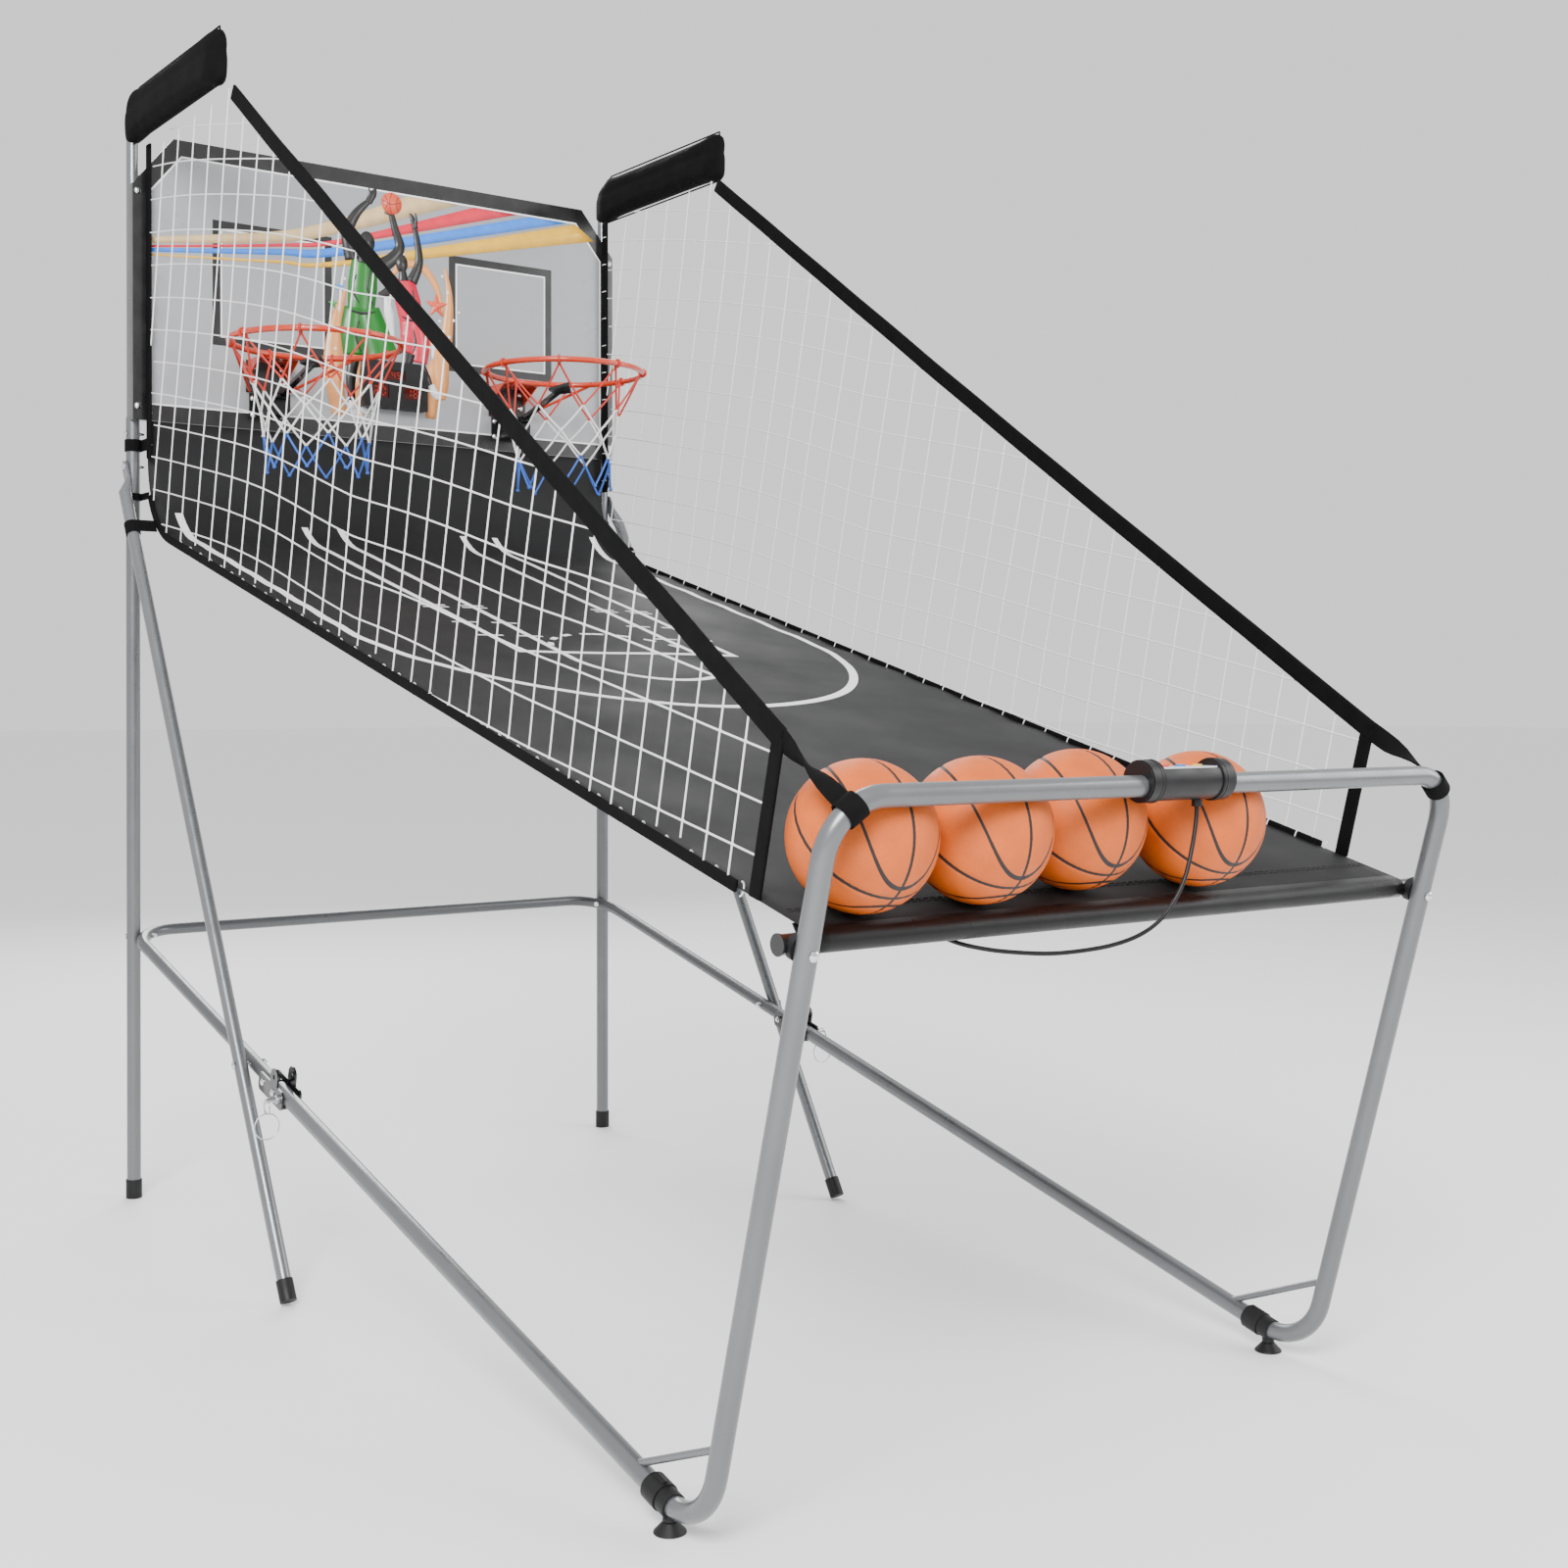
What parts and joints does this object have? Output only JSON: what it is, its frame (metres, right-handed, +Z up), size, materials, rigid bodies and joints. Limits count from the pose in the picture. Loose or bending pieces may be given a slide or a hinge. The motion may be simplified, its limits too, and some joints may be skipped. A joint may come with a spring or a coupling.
{
  "type": "basketball hoop machine",
  "caption": "Folding arcade basketball game for a family room, with two rims, an electronic scoreboard, a netted ball ramp and rubber balls.",
  "frame": {"origin": "centre of the footprint on the floor", "axes": "+X to the player's right, +Y from the player towards the backboard, +Z up"},
  "size_m": [1.1304, 2.1614, 2.059],
  "materials": {
    "frame_grey": "satin grey metallic paint",
    "black_metal": "gloss black paint",
    "bolt_steel": "bright plated",
    "spring_steel": "plain",
    "rim_red": "gloss red-orange paint",
    "black_rubber": "matt",
    "ball_orange": "grained, matt",
    "board_print": "printed fibreboard, satin",
    "case_black": "fine grain",
    "case_grey": "fine grain",
    "window_red": "tinted, polished",
    "circuit_green": "solder mask",
    "label_blue": "printed label",
    "button_red": "moulded",
    "button_grey": "moulded",
    "battery_wrap": "wrapped cell",
    "court_cloth": "printed woven cloth",
    "net_white": "knotted white cord",
    "pad_black": "nylon over foam"
  },
  "bodies": {
    "stand": {"rear_upright_left": "frame_grey", "rear_upright_right": "frame_grey", "top_post_left": "frame_grey", "top_post_right": "frame_grey", "leg_left": "frame_grey", "leg_right": "frame_grey", "foot_caps": "black_rubber", "base_tube": "frame_grey", "hinge_bracket_left": "black_metal", "hinge_bracket_right": "black_metal", "frame_bolts": "bolt_steel", "backboard": "board_print", "board_bolts": "bolt_steel", "rim_left": "rim_red", "rim_right": "rim_red", "rim_net_left": "net_white", "rim_net_right": "net_white", "sensor_housing_left": "case_black", "sensor_housing_right": "case_black", "sensor_springs": "spring_steel", "sensor_switches": "case_black", "scoreboard_case": "case_grey", "scoreboard_bezel": "case_black", "scoreboard_window": "window_red", "scoreboard_board": "circuit_green", "battery_case": "case_black", "batteries": "battery_wrap", "battery_lid": "case_black", "court": "court_cloth", "court_straps": "pad_black", "side_net_left": "net_white", "side_net_right": "net_white", "wing_pad_left": "pad_black", "wing_pad_right": "pad_black", "cord": "black_rubber", "cord_gland_board": "black_rubber"},
    "front_frame": {"handle_tube": "frame_grey", "front_leg_left": "frame_grey", "front_leg_right": "frame_grey", "lip_bar": "black_metal", "lip_saddles": "black_metal", "lip_bolts": "bolt_steel", "foot_clamps": "black_metal", "suction_feet": "black_rubber", "box_shell": "case_black", "box_collars": "case_black", "box_panel": "label_blue", "box_board": "circuit_green", "cord_gland_box": "black_rubber"},
    "sensor_arm_left": {"sensor_arm_left": "black_metal"},
    "sensor_arm_right": {"sensor_arm_right": "black_metal"},
    "lock_pin_left": {"lock_pin_left": "spring_steel"},
    "lock_pin_right": {"lock_pin_right": "spring_steel"},
    "button_start": {"button_start": "button_red"},
    "button_mode": {"button_mode": "button_grey"},
    "button_sound": {"button_sound": "button_grey"},
    "ball_a": {"ball_a": "ball_orange"},
    "ball_b": {"ball_b": "ball_orange"},
    "ball_c": {"ball_c": "ball_orange"},
    "ball_d": {"ball_d": "ball_orange"}
  },
  "joints": [
    {"name": "frame_fold", "type": "hinge", "parent": "stand", "child": "front_frame", "pos_m": [0, 0.34472, 0.31196], "axis": [-1, 0, 0], "range_deg": [0, 90], "deforming": ["court", "side_net_left", "side_net_right", "cord"]},
    {"name": "ball_a_roll", "type": "slide", "parent": "front_frame", "child": "ball_a", "axis": [0, 0.9639, 0.2662], "range_m": [0, 0.72]},
    {"name": "ball_b_roll", "type": "slide", "parent": "front_frame", "child": "ball_b", "axis": [0, 0.9639, 0.2662], "range_m": [0, 0.72]},
    {"name": "ball_c_roll", "type": "slide", "parent": "front_frame", "child": "ball_c", "axis": [0, 0.9639, 0.2662], "range_m": [0, 0.72]},
    {"name": "ball_d_roll", "type": "slide", "parent": "front_frame", "child": "ball_d", "axis": [0, 0.9639, 0.2662], "range_m": [0, 0.72]},
    {"name": "sensor_left_press", "type": "hinge", "parent": "stand", "child": "sensor_arm_left", "pos_m": [-0.26, 0.96072, 1.505], "axis": [1, 0, 0], "range_deg": [0, 20], "stiffness_Nm_per_rad": 1.5, "springref_deg": -11.46},
    {"name": "sensor_right_press", "type": "hinge", "parent": "stand", "child": "sensor_arm_right", "pos_m": [0.26, 0.96072, 1.505], "axis": [1, 0, 0], "range_deg": [0, 20], "stiffness_Nm_per_rad": 1.5, "springref_deg": -11.46},
    {"name": "lock_left_pull", "type": "slide", "parent": "stand", "child": "lock_pin_left", "axis": [-1, 0, 0], "range_m": [0, 0.02]},
    {"name": "lock_right_pull", "type": "slide", "parent": "stand", "child": "lock_pin_right", "axis": [1, 0, 0], "range_m": [0, 0.02]},
    {"name": "start_press", "type": "slide", "parent": "front_frame", "child": "button_start", "axis": [0, 0, -1], "range_m": [0, 0.0015], "stiffness_N_per_m": 400, "springref_m": -0.001},
    {"name": "mode_press", "type": "slide", "parent": "front_frame", "child": "button_mode", "axis": [0, 0, -1], "range_m": [0, 0.0015], "stiffness_N_per_m": 400, "springref_m": -0.001},
    {"name": "sound_press", "type": "slide", "parent": "front_frame", "child": "button_sound", "axis": [0, 0, -1], "range_m": [0, 0.0015], "stiffness_N_per_m": 400, "springref_m": -0.001}
  ],
  "couplings": [
    {"joint": "ball_a_roll", "follows": "frame_fold", "m_per_rad": 0.4583},
    {"joint": "ball_b_roll", "follows": "frame_fold", "m_per_rad": 0.4583},
    {"joint": "ball_c_roll", "follows": "frame_fold", "m_per_rad": 0.4583},
    {"joint": "ball_d_roll", "follows": "frame_fold", "m_per_rad": 0.4583}
  ]
}
